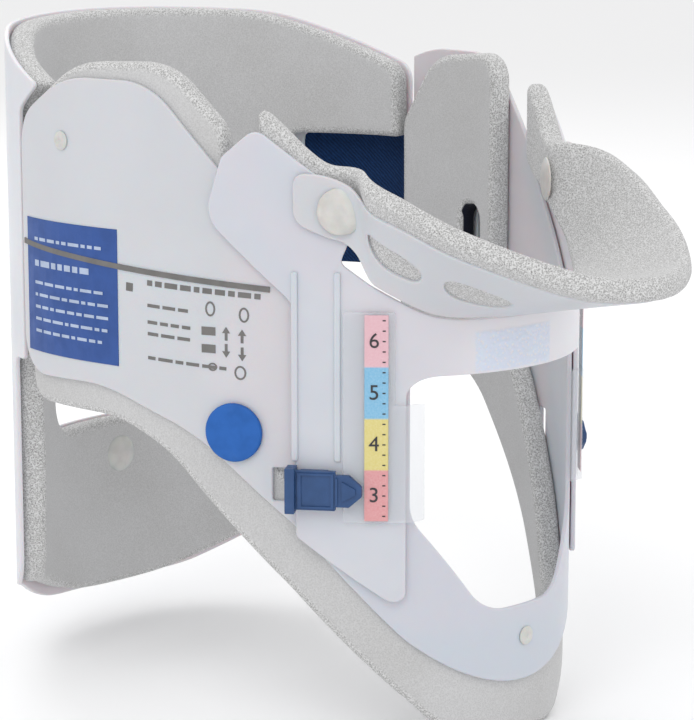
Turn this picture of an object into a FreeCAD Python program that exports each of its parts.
import FreeCAD, Part
import math
import os
import Sketcher
from FreeCAD import Placement, Rotation, Vector

# Adjustable cervical collar. Front of the neck is -Y, the patient's right is -X, up is +Z.
# Millimetres. It is drawn round the centre of the neck ring, on the plane that the chest foam
# stands on. The last lines move every solid back, so that the origin is the middle of the
# collar's box on that plane.
# The collar wall is a closed run of tangent arcs in plan. Every sheet and foam layer is that
# wall at its own offset, cut out with side, front and rear outlines.

os.makedirs("parts", exist_ok=True)
doc = FreeCAD.newDocument("collar")

# ---------------------------------------------------------------- sizes
SIZES = {
    # plan of the wall (outer face of the rigid shell)
    "origin_back": 20.0, "front_reach": 77.4, "nose_rad": 45.0, "nose_turn": 45.0, 
    "flank_rad": 112.0, "flank_turn": 46.0, "side_rad": 58.0, "side_turn": 34.0, "blank_tall": 200.0,
    # layers, measured outward from the wall
    "shell_in": -1.2, "shell_out": 0.0, "lining_in": -7.2, "panel_foam_in": -7.7,
    "arch_in": 0.4, "arch_out": 1.6, "rib_out": 2.2, "guide_in": 2.0, "guide_out": 3.0,
    "tag_out": 3.2, "sticker_out": 0.2, "pad_out": 0.8, "strap_in": 1.2, "strap_out": 2.4,
    "dot_out": 1.5, "stud_out": 0.8,
    # tracheal opening and rear opening
    "throat_half": 29.5, "throat_low": 33.0, "throat_shoulder": 57.0, "throat_floor_half": 13.0,
    "throat_top": 100.0, "throat_r": 12.0,
    "rear_half": 30.0, "rear_low": 57.0, "rear_high": 105.0, "rear_r": 10.0,
    # lock windows in the shell, slot in the left lobe (run is the arc length from the front)
    "window_run": 62.6, "window_long": 4.2, "window_tall": 8.0, "window_deep": 8.0,
    "window_inside": 4.0, "window_height": 65.0,
    "slot_run": 96.5, "slot_wide": 8.5, "slot_tall": 26.0, "slot_height": 105.5, "slot_deep": 40.0,
    # trims
    "left_rear_edge": 18.5, "left_wing_floor": 134.0, "left_panel_edge": 50.0,
    # strap and its pad
    "strap_low": 97.0, "strap_high": 133.0, "strap_front": -22.0, "strap_step": 50.5, "strap_back": 59.0,
    "pad_low": 98.0, "pad_high": 132.0, "pad_front": -5.0, "pad_back": 15.5,
    # ribs on the arch legs
    "rib_low": 58.0, "rib_high": 116.0, "rib_wide": 1.5, "rib_notch_low": 58.9, "rib_notch_tall": 12.4,
    "rib_notch_front_y": -57.5, "rib_notch_long": 14.0, "rib_rear_y": -47.7, "rib_front_y": -55.9,
    # guide plate and scale label
    "guide_low": 57.0, "guide_high": 107.0, "guide_rear_y": -56.9, "guide_front_y": -65.4,
    "guide_wall_rear_y": -67.0, "guide_wall_front_y": -68.6, "guide_wall_high": 85.0,
    "tag_rear_y": -60.9, "tag_front_y": -64.9, "tag_low": 57.6, "tag_high": 106.4,
    # round parts
    "disc_bar_long": 24.0,
    "dot_dia": 14.0, "dot_run": 74.0, "dot_height": 77.0, "stud_dia": 4.6,
    "right_stud_run": 124.0, "right_stud_height": 143.0, "left_stud_run": 118.0, "left_stud_height": 146.0,
    "chest_stud_height": 25.0,
    "rivet_head": 11.0, "rivet_head_thick": 1.4, "rivet_shank": 4.0,
    "chin_rivet_run": 48.0, "chin_rivet_height": 130.5, "chin_rivet_long": 10.5,
    "head_proud": 1.0, "head_lift": 0.9,
    "rear_head": 10.0, "rear_rivet_height": 47.0, "rear_rivet_long": 10.0, "rear_head_lift": 0.1,
    # info sticker
    "info_front_y": -2.5, "info_rear_y": 31.5, "info_low": 90.0, "info_tall": 33.0,
    # safety lock
    "lock_run": 54.0, "lock_height": 65.0, "lock_gap": 1.95, "lock_weld": 0.2,
    "lock_foot_rear": 3.6, "lock_foot_front": -3.0,
    "lock_foot_tall": 9.0, "lock_plate_in": 3.45, "lock_plate_thick": 1.5,
    "lock_body_rear": 4.4, "lock_body_front": -5.0, "lock_body_tall": 9.4, "lock_head_tall": 7.6,
    "lock_head_shoulder": -8.2, "lock_tip": -11.2, "lock_tip_half": 1.2,
    "lock_grip_thick": 2.3, "lock_grip_tall": 10.8, "lock_grip_out": 6.6,
    # chin strip and chin foam
    "strip_thick": 1.2, "strip_face": 2.95, "chin_foam_thick": 5.5, "chin_foam_face": 0.3,
    "foam_above_strip": 6.0, "foam_start": 2.0, "shelf_gap": 0.06,
    "window_a_long": 15.0, "window_a_tall": 7.0, "window_a_r": 3.48,
    "window_b_long": 17.0, "window_b_tall": 8.0, "window_b_r": 3.98, "strip_window_deep": 24.0,
}

# Side outlines: corner name -> (forward position y, height z, corner radius)
OUTLINES = {
    "shell": [("rear_low", 34.5, 84.0, 10), ("rear_top", 34.5, 147.0, 12), ("lobe_back", 14.0, 158.5, 30),
              ("lobe_front", -12.0, 158.5, 18), ("valley", -30.0, 138.0, 4), ("cheek_high", -40.0, 123.0, 8),
              ("cheek_low", -57.0, 104.5, 8), ("arm_high", -67.6, 86.0, 3), ("nose_high", -95.0, 86.0, 0),
              ("nose_low", -95.0, -7.0, 0), ("chest_low", -65.0, 28.0, 22), ("flank_low", -46.0, 54.5, 40),
              ("waist_low", -24.0, 75.5, 45), ("side_low", 2.0, 85.0, 40)],
    "lobe_foam": [("rear_low", 32.5, 97.0, 0), ("rear_top", 32.5, 149.0, 10), ("crown_back", 12.0, 162.0, 26),
                  ("crown_front", -15.0, 163.0, 17), ("front_top", -29.0, 148.0, 10),
                  ("front_low", -29.0, 97.0, 0)],
    "left_lobe": [("rear_low", 17.5, 97.0, 0), ("rear_top", 17.5, 139.0, 8), ("crown_back", 6.0, 157.0, 14),
                  ("crown_front", -21.5, 159.5, 7), ("front_low", -21.5, 97.0, 0)],
    "shoulder": [("rear_low", 32.0, 77.0, 6), ("rear_high", 32.0, 97.0, 0), ("band_high", -18.0, 97.0, 9),
                 ("bend_high", -35.0, 77.0, 20), ("flank_high", -53.0, 48.0, 20),
                 ("bib_high", -62.0, 30.0, 8), ("nose_high", -95.0, 30.0, 0), ("nose_low", -95.0, 0.0, 0), ("toe", -70.5, 0.0, 3),
                 ("bib_low", -63.5, 11.5, 20), ("flank_low", -42.0, 39.5, 60), ("waist_low", -14.0, 70.5, 30),
                 ("side_low", 0.0, 77.0, 30)],
    "panel": [("rear_low", 95.0, 3.0, 0), ("rear_high", 95.0, 171.0, 0), ("wing_bend", 57.0, 167.5, 40),
              ("wing_tip", 19.5, 153.0, 6), ("wing_floor", 19.5, 134.0, 0), ("hinge_top", 35.6, 134.0, 0),
              ("hinge_low", 35.6, 86.0, 2), ("tail_top", 43.5, 86.0, 3), ("tail_low", 43.5, 26.0, 11),
              ("bottom_bend", 60.0, 20.0, 20), ("bottom_back", 72.0, 10.5, 12)],
    "lobe_clear": [("rear_low", 35.7, 60.0, 0), ("rear_top", 35.7, 149.0, 8), ("crown_back", 12.5, 164.5, 20),
                   ("front_top", -20.0, 170.0, 0), ("front_low", -20.0, 60.0, 0)],
    "arch": [("tab_rear", -31.0, 142.0, 3), ("peak", -38.5, 149.0, 3), ("tab_high", -57.0, 133.0, 3),
             ("tab_front", -57.0, 124.0, 2), ("key", -54.0, 118.5, 2), ("slit_bend", -60.0, 110.8, 8),
             ("slit_low", -71.0, 104.9, 10), ("nose_high", -95.0, 103.2, 0), ("nose_low", -95.0, 91.5, 0),
             ("leg_front_high", -66.4, 91.5, 5), ("leg_front_low", -66.4, 35.0, 2),
             ("leg_rear_low", -46.6, 53.0, 2), ("leg_rear_high", -46.6, 108.0, 8),
             ("arm_low", -27.0, 128.0, 8)],
}

# Chin strip stations from the front centre to the ear:
# (arc length along the wall, height of the lower edge, outward bearing turned from the wall
#  normal, lean from upright, width of foam plus strip)
STRIP = [(0.0, 104.5, 0.0, 79.0, 39.5), (8.0, 104.7, 4.0, 76.0, 36.0), (15.0, 105.0, 4.0, 67.0, 32.5),
         (24.0, 106.0, 9.0, 49.0, 29.0), (33.0, 109.0, 13.0, 33.0, 28.0), (40.0, 113.5, 19.0, 22.0, 25.5),
         (46.0, 122.0, 6.0, 9.0, 20.5), (52.0, 124.5, 0.0, 2.0, 20.0), (59.0, 127.5, 0.0, 0.0, 17.5)]
# Oval windows in the strip: (tag, arc length, height of the strip's lower edge there, swing, lean,
#  distance of the window's centre up the strip)
STRIP_WINDOWS = [("a", 35.5, 110.8, 15.0, 29.0, 10.5), ("b", 20.0, 105.4, 6.0, 57.0, 11.0)]
# Foam-only stations along the arms of the arch: (arc length, height of lower edge, height of top)
ARM_FOAM = [(56.0, 127.5, 143.5), (62.0, 129.5, 148.0), (68.0, 133.0, 152.5)]

for name, corners in OUTLINES.items():
    for corner, y, z, r in corners:
        SIZES["%s_%s_y" % (name, corner)] = y
        SIZES["%s_%s_z" % (name, corner)] = z
        if r:
            SIZES["%s_%s_r" % (name, corner)] = float(r)

sheet = doc.addObject("Spreadsheet::Sheet", "Sizes")
for row, (alias, value) in enumerate(SIZES.items(), start=1):
    sheet.set("A%d" % row, alias)
    sheet.set("B%d" % row, repr(float(value)))
    sheet.setAlias("B%d" % row, alias)
doc.recompute()

YZ = Placement(Vector(0, 0, 0), Rotation(Vector(1, 1, 1), 120))
XZ = Placement(Vector(0, 0, 0), Rotation(Vector(1, 0, 0), 90))
BIG = 240.0


def size(alias):
    return "Sizes." + alias


# ---------------------------------------------------------------- plan of the wall
def plan_arcs():
    """Centre, radius, start and end bearing (degrees) of the six arcs, anticlockwise from the nose."""
    a1 = SIZES["nose_turn"]
    a2 = a1 + SIZES["flank_turn"]
    a3 = a2 + SIZES["side_turn"]
    r1, r2, r3 = SIZES["nose_rad"], SIZES["flank_rad"], SIZES["side_rad"]

    def shift(centre, turn, change):
        b = math.radians(turn - 90.0)
        return (centre[0] + change * math.cos(b), centre[1] + change * math.sin(b))
    c1 = (0.0, r1 - SIZES["front_reach"])
    c2 = shift(c1, a1, r1 - r2)
    c3 = shift(c2, a2, r2 - r3)
    r4 = r3 + c3[0] / math.sin(math.radians(a3))
    c4 = shift(c3, a3, r3 - r4)
    right = [(-c3[0], c3[1], r3, 270 - a3, 270 - a2), (-c2[0], c2[1], r2, 270 - a2, 270 - a1)]
    return [(c1[0], c1[1], r1, -90 - a1, -90 + a1), (c2[0], c2[1], r2, -90 + a1, -90 + a2),
            (c3[0], c3[1], r3, -90 + a2, -90 + a3), (0.0, c4[1], r4, a3 - 90, 270 - a3)] + right


ARCS = plan_arcs()


def wall(t, off=0.0):
    """Point and outward bearing (radians) at arc length t from the front; + is the patient's right."""
    side = -1.0 if t >= 0 else 1.0
    left = abs(t)
    for cx, cy, r, b0, b1 in (ARCS[0], ARCS[1], ARCS[2], ARCS[3]):
        start = -90.0 if r == SIZES["nose_rad"] else b0
        run = r * math.radians(b1 - start)
        if left <= run or (cx, cy, r) == ARCS[3][:3]:
            b = math.radians(start) + left / r
            break
        left -= run
    x, y = cx + (r + off) * math.cos(b), cy + (r + off) * math.sin(b)
    return (x, y, b) if side > 0 else (-x, y, math.pi - b)


def bound(sketch, constraint, expression):
    index = sketch.addConstraint(constraint)
    sketch.setExpression("Constraints[%d]" % index, expression)


def add_loop(sketch, layer):
    """One closed run of six tangent arcs, offset from the wall by a named layer."""
    off = SIZES[layer]
    ids = []
    for cx, cy, r, b0, b1 in ARCS:
        circle = Part.Circle(Vector(cx, cy, 0), Vector(0, 0, 1), r + off)
        ids.append(sketch.addGeometry(Part.ArcOfCircle(circle, math.radians(b0), math.radians(b1)), False))
    for here, there in zip(ids, ids[1:] + ids[:1]):
        sketch.addConstraint(Sketcher.Constraint("Tangent", here, 2, there, 1))
    sketch.addConstraint(Sketcher.Constraint("PointOnObject", ids[0], 3, -2))
    sketch.addConstraint(Sketcher.Constraint("PointOnObject", ids[3], 3, -2))
    sketch.addConstraint(Sketcher.Constraint("Equal", ids[1], ids[5]))
    sketch.addConstraint(Sketcher.Constraint("Equal", ids[2], ids[4]))
    for geo, rad in ((ids[0], "nose_rad"), (ids[1], "flank_rad"), (ids[2], "side_rad")):
        bound(sketch, Sketcher.Constraint("Radius", geo, SIZES[rad] + off), size(rad) + " + " + size(layer))
    bound(sketch, Sketcher.Constraint("DistanceY", ids[0], 3, -1, 1, -ARCS[0][1]),
          size("front_reach") + " - " + size("nose_rad"))
    for geo, turn, times in ((ids[0], "nose_turn", 2), (ids[1], "flank_turn", 1), (ids[5], "flank_turn", 1),
                             (ids[2], "side_turn", 1)):
        bound(sketch, Sketcher.Constraint("Angle", geo, math.radians(SIZES[turn] * times)),
              "%d * %s * 1deg" % (times, size(turn)))


def extrude(name, sketch, length, both=False):
    solid = doc.addObject("Part::Extrusion", name)
    solid.Base = sketch
    solid.DirMode = "Normal"
    solid.Solid = True
    solid.Symmetric = both
    if isinstance(length, str):
        solid.setExpression("LengthFwd", size(length))
    else:
        solid.LengthFwd = length
    return solid


def ring(name, inner, outer):
    sketch = doc.addObject("Sketcher::SketchObject", name + "_plan")
    add_loop(sketch, inner)
    add_loop(sketch, outer)
    return extrude(name, sketch, "blank_tall")


def rounded(name, corners, place):
    """Closed outline with rounded corners; corners are (x alias, y alias, radius alias or None)."""
    pts = [Vector(value_of(a), value_of(b), 0) for a, b, _ in corners]
    area = sum(p.x * q.y - q.x * p.y for p, q in zip(pts, pts[1:] + pts[:1]))
    if area < 0:
        corners, pts = corners[::-1], pts[::-1]
    n = len(pts)
    sketch = doc.addObject("Sketcher::SketchObject", name)
    ends = []
    for k, (_, _, r_alias) in enumerate(corners):
        here, before, after = pts[k], pts[k - 1], pts[(k + 1) % n]
        if not r_alias:
            ends.append((here, here, None, True))
            continue
        r = value_of(r_alias)
        u, v = (before - here).normalize(), (after - here).normalize()
        half = u.getAngle(v) / 2
        reach = r / math.tan(half)
        mid = (u + v).normalize()
        ends.append((here + u * reach, here + v * reach, here + mid * (r / math.sin(half)),
                     u.cross(v).z < 0))
    lines = [sketch.addGeometry(Part.LineSegment(ends[k][1], ends[(k + 1) % n][0]), False) for k in range(n)]
    for k, (a, b, r_alias) in enumerate(corners):
        start, end, centre, convex = ends[k]
        before, after = lines[k - 1], lines[k]
        if r_alias:
            first, last = (start, end) if convex else (end, start)
            b0 = math.atan2(first.y - centre.y, first.x - centre.x)
            b1 = math.atan2(last.y - centre.y, last.x - centre.x)
            b1 += 2 * math.pi if b1 < b0 else 0
            radius = value_of(r_alias)
            circle = Part.Circle(centre, Vector(0, 0, 1), radius)
            arc = sketch.addGeometry(Part.ArcOfCircle(circle, b0, b1), False)
            sketch.addConstraint(Sketcher.Constraint("Tangent", before, 2, arc, 1 if convex else 2))
            sketch.addConstraint(Sketcher.Constraint("Tangent", arc, 2 if convex else 1, after, 1))
            bound(sketch, Sketcher.Constraint("Radius", arc, radius), expr_of(r_alias))
            tip = sketch.addGeometry(Part.Point(pts[k]), True)
            sketch.addConstraint(Sketcher.Constraint("PointOnObject", tip, 1, before))
            sketch.addConstraint(Sketcher.Constraint("PointOnObject", tip, 1, after))
            at = (tip, 1)
        else:
            sketch.addConstraint(Sketcher.Constraint("Coincident", before, 2, after, 1))
            at = (after, 1)
        bound(sketch, Sketcher.Constraint("DistanceX", -1, 1, at[0], at[1], value_of(a)), expr_of(a))
        bound(sketch, Sketcher.Constraint("DistanceY", -1, 1, at[0], at[1], value_of(b)), expr_of(b))
    sketch.Placement = place
    return sketch


def value_of(term):
    """Value of '-alias', 'alias', or 'alias / 2' style terms."""
    sign = -1.0 if term.startswith("-") else 1.0
    word = term.lstrip("-")
    half = word.endswith("/2")
    return sign * SIZES[word[:-2] if half else word] * (0.5 if half else 1.0)


def expr_of(term):
    sign = "-1 * " if term.startswith("-") else ""
    word = term.lstrip("-")
    half = word.endswith("/2")
    return sign + size(word[:-2] if half else word) + (" / 2" if half else "")


def side_block(name):
    """Prism through the whole collar with one of the named side outlines."""
    corners = [("%s_%s_y" % (name, c), "%s_%s_z" % (name, c), "%s_%s_r" % (name, c) if r else None)
               for c, _, _, r in OUTLINES[name]]
    return extrude(name + "_block", rounded(name + "_outline", corners, YZ), BIG, both=True)


def box(name, low, high):
    """Axis-aligned cutter between two corners; entries are numbers or named sizes."""
    solid = doc.addObject("Part::Box", name)
    num = [[SIZES[v] if isinstance(v, str) else float(v) for v in corner] for corner in (low, high)]
    text = [[size(v) if isinstance(v, str) else repr(float(v)) for v in corner] for corner in (low, high)]
    for prop, k in (("Length", 0), ("Width", 1), ("Height", 2)):
        solid.setExpression(prop, "%s - (%s)" % (text[1][k], text[0][k]))
    solid.Placement = Placement(Vector(*num[0]), Rotation())
    return solid


def combine(kind, name, parts):
    if kind == "Cut":
        solid = doc.addObject("Part::Cut", name)
        solid.Base = parts[0]
        solid.Tool = parts[1] if len(parts) == 2 else combine("MultiFuse", name + "_tools", parts[1:])
        return solid
    solid = doc.addObject("Part::" + kind, name)
    solid.Shapes = parts
    return solid


def round_bar(name, dia, length, place):
    """Cylinder whose diameter and length are named sizes."""
    solid = doc.addObject("Part::Cylinder", name)
    solid.setExpression("Radius", size(dia) + " / 2")
    if isinstance(length, str):
        solid.setExpression("Height", size(length))
    else:
        solid.Height = length
    solid.Placement = place
    return solid


def outward(t, off, z):
    """Placement on the wall with local +Z pointing outward."""
    x, y, b = wall(t, off)
    return Placement(Vector(x, y, z), Rotation(math.degrees(b), 90.0, 0))


def rivet(name, inner, outer, head, long):
    """Two heads and the shank between them; inner and outer are the places of the heads' inner faces."""
    parts = [round_bar("%s_%s_head" % (name, end), head, "rivet_head_thick", place)
             for end, place in (("inner", inner), ("outer", outer))]
    parts.append(round_bar(name + "_shank", "rivet_shank", long, inner))
    return node(name, combine("MultiFuse", name, parts))


NODES = []


def node(name, solid):
    solid.Label = name
    NODES.append(solid)
    return solid


# ---------------------------------------------------------------- shared blanks and cutters
shell_ring = ring("shell_ring", "shell_in", "shell_out")
lining_ring = ring("lining_ring", "lining_in", "shell_in")
panel_foam_ring = ring("panel_foam_ring", "panel_foam_in", "shell_in")
arch_ring = ring("arch_ring", "arch_in", "arch_out")
left_half = box("left_half", (0, -BIG, 0), (BIG, BIG, BIG))
right_half = box("right_half", (-BIG, -BIG, 0), (0, BIG, BIG))
left_rear_trim = box("left_rear_trim", (0, "left_rear_edge", -1), (BIG, BIG, BIG))


def lobe_slot(name):
    x, y, _ = wall(-SIZES["slot_run"])
    x -= SIZES["slot_deep"] / 2
    straight = SIZES["slot_tall"] - SIZES["slot_wide"]
    low = SIZES["slot_height"] - straight / 2
    ends = [round_bar("%s_%s" % (name, end), "slot_wide", "slot_deep",
                      Placement(Vector(x, y, z), Rotation(Vector(0, 1, 0), 90)))
            for end, z in (("low", low), ("high", low + straight))]
    middle = doc.addObject("Part::Box", name + "_mid")
    middle.setExpression("Length", size("slot_deep"))
    middle.setExpression("Width", size("slot_wide"))
    middle.setExpression("Height", size("slot_tall") + " - " + size("slot_wide"))
    middle.Placement = Placement(Vector(x, y - SIZES["slot_wide"] / 2, low), Rotation())
    return combine("MultiFuse", name, ends + [middle])


slot = lobe_slot("lobe_slot")

# ---------------------------------------------------------------- base shell with chest plate
throat = rounded("throat_outline", [
    ("-throat_half", "throat_top", None), ("-throat_half", "throat_shoulder", "throat_r"),
    ("-throat_floor_half", "throat_low", "throat_r"), ("throat_floor_half", "throat_low", "throat_r"),
    ("throat_half", "throat_shoulder", "throat_r"), ("throat_half", "throat_top", None)], XZ)
throat_cut = extrude("throat_cut", throat, BIG / 2)
windows = []
for tag, side in (("right", 1), ("left", -1)):
    cut = doc.addObject("Part::Box", "lock_window_" + tag)
    cut.setExpression("Length", size("window_tall"))
    cut.setExpression("Width", size("window_long"))
    cut.setExpression("Height", size("window_deep"))
    place = outward(side * SIZES["window_run"], -SIZES["window_inside"], SIZES["window_height"])
    corner = Vector(-SIZES["window_tall"] / 2, -SIZES["window_long"] / 2, 0)
    cut.Placement = place.multiply(Placement(corner, Rotation()))
    windows.append(cut)
shell_body = combine("MultiCommon", "shell_body", [shell_ring, side_block("shell")])
node("base_shell", combine("Cut", "base_shell", [shell_body, throat_cut, left_rear_trim, slot] + windows))

# ---------------------------------------------------------------- foam lining
right_lobe = [lining_ring, side_block("lobe_foam"), right_half]
node("lobe_foam_right", combine("MultiCommon", "lobe_foam_right", right_lobe))
left_lobe = combine("MultiCommon", "left_lobe_blank", [lining_ring, side_block("left_lobe"), left_half])
node("lobe_foam_left", combine("Cut", "lobe_foam_left", [left_lobe, slot]))
shoulder_blank = combine("MultiCommon", "shoulder_blank", [lining_ring, side_block("shoulder")])
node("shoulder_foam", combine("Cut", "shoulder_foam", [shoulder_blank, left_rear_trim]))

# ---------------------------------------------------------------- back panel
panel_block = side_block("panel")
rear_outline = rounded("rear_outline", [
    ("-rear_half", "rear_low", "rear_r"), ("rear_half", "rear_low", "rear_r"),
    ("rear_half", "rear_high", "rear_r"), ("-rear_half", "rear_high", "rear_r")],
    Placement(Vector(0, 120, 0), Rotation(Vector(1, 0, 0), 90)))
rear_cut = extrude("rear_cut", rear_outline, 100.0)
left_panel_trim = box("left_panel_trim", (0, -20, -1), (BIG, "left_panel_edge", "left_wing_floor"))
lobe_clear = combine("MultiCommon", "lobe_clear", [side_block("lobe_clear"), right_half])
rear_y = ARCS[3][1] + ARCS[3][2]
rear_places = [Placement(Vector(0, rear_y + off, SIZES["rear_rivet_height"]), Rotation(Vector(1, 0, 0), -90))
               for off in (SIZES["panel_foam_in"] - SIZES["head_proud"], SIZES["rear_head_lift"])]
rear_rivet = rivet("rear_rivet", rear_places[0], rear_places[1], "rear_head", "rear_rivet_long")
panel_cuts = [rear_cut, left_panel_trim, lobe_clear, rear_rivet]
panel_blank = combine("MultiCommon", "panel_blank", [shell_ring, panel_block])
node("back_panel", combine("Cut", "back_panel", [panel_blank] + panel_cuts))
panel_foam_blank = combine("MultiCommon", "panel_foam_blank", [panel_foam_ring, panel_block])
node("back_foam", combine("Cut", "back_foam", [panel_foam_blank] + panel_cuts))

# ---------------------------------------------------------------- closure strap and its pad
strap_root = combine("MultiCommon", "strap_root", [
    ring("strap_root_ring", "shell_out", "strap_out"),
    box("strap_root_box", (0, "strap_step", "strap_low"), (BIG, "strap_back", "strap_high"))])
strap_run = combine("MultiCommon", "strap_run", [
    ring("strap_ring", "strap_in", "strap_out"),
    box("strap_box", (0, "strap_front", "strap_low"), (BIG, "strap_step", "strap_high"))])
node("closure_strap", combine("MultiFuse", "closure_strap", [strap_root, strap_run]))
pad_box = box("pad_box", (0, "pad_front", "pad_low"), (BIG, "pad_back", "pad_high"))
node("loop_pad", combine("MultiCommon", "loop_pad", [ring("pad_ring", "shell_out", "pad_out"), pad_box]))

# ---------------------------------------------------------------- sliding arch with its legs
arch_blank = combine("MultiCommon", "arch_blank", [arch_ring, side_block("arch")])
rib_ring = ring("rib_ring", "arch_in", "rib_out")
ribs = []
for tag, alias in (("rear", "rib_rear_y"), ("front", "rib_front_y")):
    rib = doc.addObject("Part::Box", "rib_box_" + tag)
    rib.Length = 2 * BIG
    rib.setExpression("Width", size("rib_wide"))
    rib.setExpression("Height", size("rib_high") + " - " + size("rib_low"))
    rib.Placement = Placement(Vector(-BIG, SIZES[alias], SIZES["rib_low"]), Rotation())
    ribs.append(rib)
rib_blank = combine("MultiCommon", "rib_blank", [rib_ring, combine("MultiFuse", "rib_boxes", ribs)])
notch_ring = ring("notch_ring", "arch_out", "guide_out")
notch = doc.addObject("Part::Box", "rib_notch_box")
notch.Length = 2 * BIG
notch.setExpression("Width", size("rib_notch_long"))
notch.setExpression("Height", size("rib_notch_tall"))
notch.Placement = Placement(Vector(-BIG, SIZES["rib_notch_front_y"], SIZES["rib_notch_low"]), Rotation())
rib_notch = combine("MultiCommon", "rib_notch", [notch_ring, notch])
ribbed = combine("Cut", "ribbed", [rib_blank, rib_notch])
arch_solid = combine("MultiFuse", "arch_solid", [arch_blank, ribbed])

rivets = []
for tag, side in (("right", 1), ("left", -1)):
    run, height = side * SIZES["chin_rivet_run"], SIZES["chin_rivet_height"]
    inner = outward(run, SIZES["chin_foam_face"] - SIZES["chin_foam_thick"] - SIZES["head_proud"], height)
    outer = outward(run, SIZES["strip_face"] + SIZES["head_lift"], height)
    rivets.append(rivet("chin_rivet_" + tag, inner, outer, "rivet_head", "chin_rivet_long"))
chin_carrier = node("chin_carrier", combine("Cut", "chin_carrier", [arch_solid] + rivets))


# ---------------------------------------------------------------- chin strip and chin foam
def station(t, z, swing, lean, side, face):
    """Frame at a station: local +X runs up the strip, +Y points to the neck side."""
    x, y, b = wall(side * t, face)
    bearing = math.degrees(b) - side * swing
    return Placement(Vector(x, y, z), Rotation(bearing, -(90.0 - lean), 90.0))


def slat(name, place, long_expr, thick_alias, start, inset):
    """Rectangular cross-section used as a loft station."""
    plane = doc.addObject("Part::Plane", name)
    plane.setExpression("Length", long_expr)
    plane.setExpression("Width", size(thick_alias))
    plane.Placement = place.multiply(Placement(Vector(start, inset, 0), Rotation()))
    return plane


def loft(name, sections):
    solid = doc.addObject("Part::Loft", name)
    solid.Sections = sections
    solid.Solid = True
    solid.Ruled = False
    return solid


both_sides = [(1, row) for row in STRIP[::-1]] + [(-1, row) for row in STRIP[1:]]
strip_sections = []
for k, (side, (t, z, swing, lean, width)) in enumerate(both_sides):
    place = station(t, z, swing, lean, side, SIZES["strip_face"])
    strip_sections.append(slat("strip_slat_%02d" % k, place, "%r - %s" % (width, size("foam_above_strip")),
                               "strip_thick", 0.0, 0.0))
strip_loft = loft("strip_loft", strip_sections)
cutters = []
for tag, t, z, swing, lean, up in STRIP_WINDOWS:
    for side_tag, side in (("right", 1), ("left", -1)):
        place = station(t, z, swing, lean, side, SIZES["strip_face"])
        face = place.multiply(Placement(Vector(up, SIZES["strip_window_deep"] / 2, 0),
                                        Rotation(Vector(1, 0, 0), 90)))
        across, along, r = ["window_%s_%s" % (tag, word) for word in ("tall/2", "long/2", "r")]
        outline = rounded("strip_window_%s_%s_outline" % (tag, side_tag),
                          [("-" + across, "-" + along, r), (across, "-" + along, r),
                           (across, along, r), ("-" + across, along, r)], face)
        cutters.append(extrude("strip_window_%s_%s" % (tag, side_tag), outline, "strip_window_deep"))
chin_strip = node("chin_strip", combine("Cut", "chin_strip", [strip_loft] + cutters + rivets))

foam_sections = []
for side in (1, -1):
    arm = []
    for k, (t, low, high) in enumerate(ARM_FOAM[::-1]):
        place = station(t, low, 0.0, 0.0, side, SIZES["chin_foam_face"])
        arm.append(slat("arm_slat_%d_%d" % (side, k), place, repr(high - low), "chin_foam_thick", 0.0, 0.0))
    shelf = []
    for k, (t, z, swing, lean, width) in enumerate(STRIP[::-1]):
        if t > 51.0 or (side < 0 and t == 0.0):
            continue
        inside = t > 42.0
        face = SIZES["chin_foam_face"] if inside else SIZES["strip_face"]
        inset = 0.0 if inside else SIZES["strip_thick"] + SIZES["shelf_gap"]
        place = station(t, z, swing, 0.0 if inside else lean, side, face)
        shelf.append(slat("shelf_slat_%d_%d" % (side, k), place, "%r - %s" % (width, size("foam_start")),
                          "chin_foam_thick", SIZES["foam_start"], inset))
    foam_sections += arm + shelf if side > 0 else shelf[::-1] + arm[::-1]
foam_loft = loft("foam_loft", foam_sections)
node("chin_foam", combine("Cut", "chin_foam", [foam_loft, chin_carrier, chin_strip] + rivets))

# ---------------------------------------------------------------- guide plates and scale labels
guide_ring = ring("guide_ring", "guide_in", "guide_out")
guide_wall_ring = ring("guide_wall_ring", "shell_out", "guide_out")
guide_high = box("guide_high_box", (-BIG, "guide_front_y", "guide_low"), (BIG, "guide_rear_y", "guide_high"))
guide_low = box("guide_low_box", (-BIG, "guide_wall_front_y", "guide_low"),
                (BIG, "guide_rear_y", "guide_wall_high"))
guide_plate = combine("MultiCommon", "guide_plates", [
    guide_ring, combine("MultiFuse", "guide_boxes", [guide_high, guide_low])])
guide_wall = combine("MultiCommon", "guide_walls", [
    guide_wall_ring, box("guide_wall_box", (-BIG, "guide_wall_front_y", "guide_low"),
                         (BIG, "guide_wall_rear_y", "guide_wall_high"))])
guides = combine("MultiFuse", "guides", [guide_plate, guide_wall])
tags = combine("MultiCommon", "tags", [
    ring("tag_ring", "guide_out", "tag_out"),
    box("tag_box", (-BIG, "tag_front_y", "tag_low"), (BIG, "tag_rear_y", "tag_high"))])
for tag, half in (("right", right_half), ("left", left_half)):
    node("guide_plate_" + tag, combine("MultiCommon", "guide_plate_" + tag, [guides, half]))
    node("scale_label_" + tag, combine("MultiCommon", "scale_label_" + tag, [tags, half]))


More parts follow.
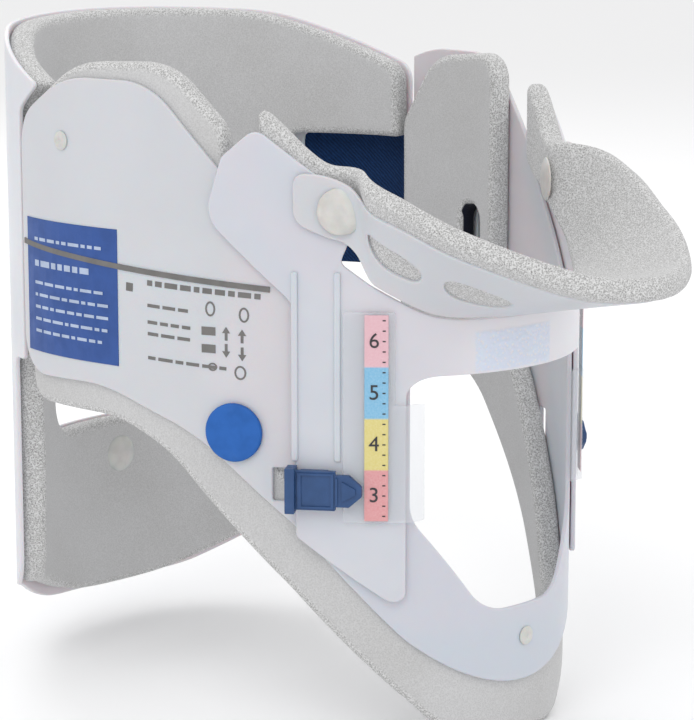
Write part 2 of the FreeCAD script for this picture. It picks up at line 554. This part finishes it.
# ---------------------------------------------------------------- safety locks
def lock(name, side):
    """Local +X is the pull direction along the wall, +Y is outward, +Z is up."""
    x, y, b = wall(side * SIZES["lock_run"], 0.0)
    pull = math.degrees(b) - 90.0 * side
    frame = Placement(Vector(x, y, SIZES["lock_height"]), Rotation(pull, 0, 0))
    flip = 1.0 if side > 0 else -1.0
    pieces = []
    for part, x0, x1, tall, y0, thick in (
            ("foot", "lock_foot_front", "lock_foot_rear", "lock_foot_tall", "lock_gap", None),
            ("grip", "lock_body_rear", None, "lock_grip_tall", "lock_gap", "grip")):
        block = doc.addObject("Part::Box", "%s_%s" % (name, part))
        block.setExpression("Height", size(tall))
        if part == "foot":
            block.setExpression("Length", size(x1) + " - " + size(x0))
            block.setExpression("Width", " ".join((size("lock_plate_in"), "-", size(y0), "+", size("lock_weld"))))
            wide = SIZES["lock_plate_in"] - SIZES[y0] + SIZES["lock_weld"]
        else:
            block.setExpression("Length", size("lock_grip_thick"))
            block.setExpression("Width", size("lock_grip_out") + " - " + size(y0))
            wide = SIZES["lock_grip_out"] - SIZES[y0]
        low_y = SIZES[y0] if flip > 0 else -SIZES[y0] - wide
        block.Placement = frame.multiply(Placement(Vector(SIZES[x0], low_y, -SIZES[tall] / 2), Rotation()))
        pieces.append(block)
    rear = "lock_body_rear"
    corners = [(rear, "-lock_body_tall/2"), (rear, "lock_body_tall/2"),
               ("lock_body_front", "lock_body_tall/2"),
               ("lock_body_front", "lock_head_tall/2"), ("lock_head_shoulder", "lock_head_tall/2"),
               ("lock_tip", "lock_tip_half"), ("lock_tip", "-lock_tip_half"),
               ("lock_head_shoulder", "-lock_head_tall/2"), ("lock_body_front", "-lock_head_tall/2"),
               ("lock_body_front", "-lock_body_tall/2")]
    plate_y = SIZES["lock_plate_in"] if flip > 0 else -SIZES["lock_plate_in"] - SIZES["lock_plate_thick"]
    face = frame.multiply(Placement(Vector(0, plate_y + SIZES["lock_plate_thick"], 0),
                                    Rotation(Vector(1, 0, 0), 90)))
    outline = rounded(name + "_outline", [(a, c, None) for a, c in corners], face)
    pieces.append(extrude(name + "_plate", outline, "lock_plate_thick"))
    node(name, combine("MultiFuse", name, pieces))


lock("safety_lock_right", 1)
lock("safety_lock_left", -1)


# ---------------------------------------------------------------- round marks and stickers
def wall_disc(name, layer_ring, dia, t, height):
    place = outward(t, -SIZES["disc_bar_long"] / 2, SIZES[height])
    bar = round_bar(name + "_bar", dia, "disc_bar_long", place)
    return node(name, combine("MultiCommon", name, [layer_ring, bar]))


dot_ring = ring("dot_ring", "shell_out", "dot_out")
wall_disc("sizing_dot_right", dot_ring, "dot_dia", SIZES["dot_run"], "dot_height")
wall_disc("sizing_dot_left", dot_ring, "dot_dia", -SIZES["dot_run"], "dot_height")
stud_ring = ring("stud_ring", "shell_out", "stud_out")
wall_disc("lobe_stud_right", stud_ring, "stud_dia", SIZES["right_stud_run"], "right_stud_height")
wall_disc("lobe_stud_left", stud_ring, "stud_dia", -SIZES["left_stud_run"], "left_stud_height")
wall_disc("chest_stud", stud_ring, "stud_dia", 0.0, "chest_stud_height")
info_high = SIZES["info_low"] + SIZES["info_tall"]
node("info_label", combine("MultiCommon", "info_label", [
    ring("sticker_ring", "shell_out", "sticker_out"),
    box("info_box", (-BIG, "info_front_y", "info_low"), (0, "info_rear_y", info_high))]))

# ---------------------------------------------------------------- build, check, export
doc.recompute()
bad = [o.Name for o in doc.Objects if "Invalid" in o.State or "Error" in o.State]
if bad:
    raise RuntimeError("objects in error: " + ", ".join(bad))
to_origin = Vector(0, SIZES["origin_back"], 0)
for solid in NODES:
    if solid.Shape.isNull() or not solid.Shape.isValid() or not solid.Shape.Solids:
        raise RuntimeError("bad shape: " + solid.Label)
    shape = solid.Shape.translated(to_origin)
    shape.exportStep("parts/%s.step" % solid.Label)
    box_ = shape.BoundBox
    print("%-18s solids %d  vol %9.1f  x %6.1f %6.1f  y %6.1f %6.1f  z %6.1f %6.1f" % (
        solid.Label, len(shape.Solids), shape.Volume, box_.XMin, box_.XMax, box_.YMin, box_.YMax,
        box_.ZMin, box_.ZMax))
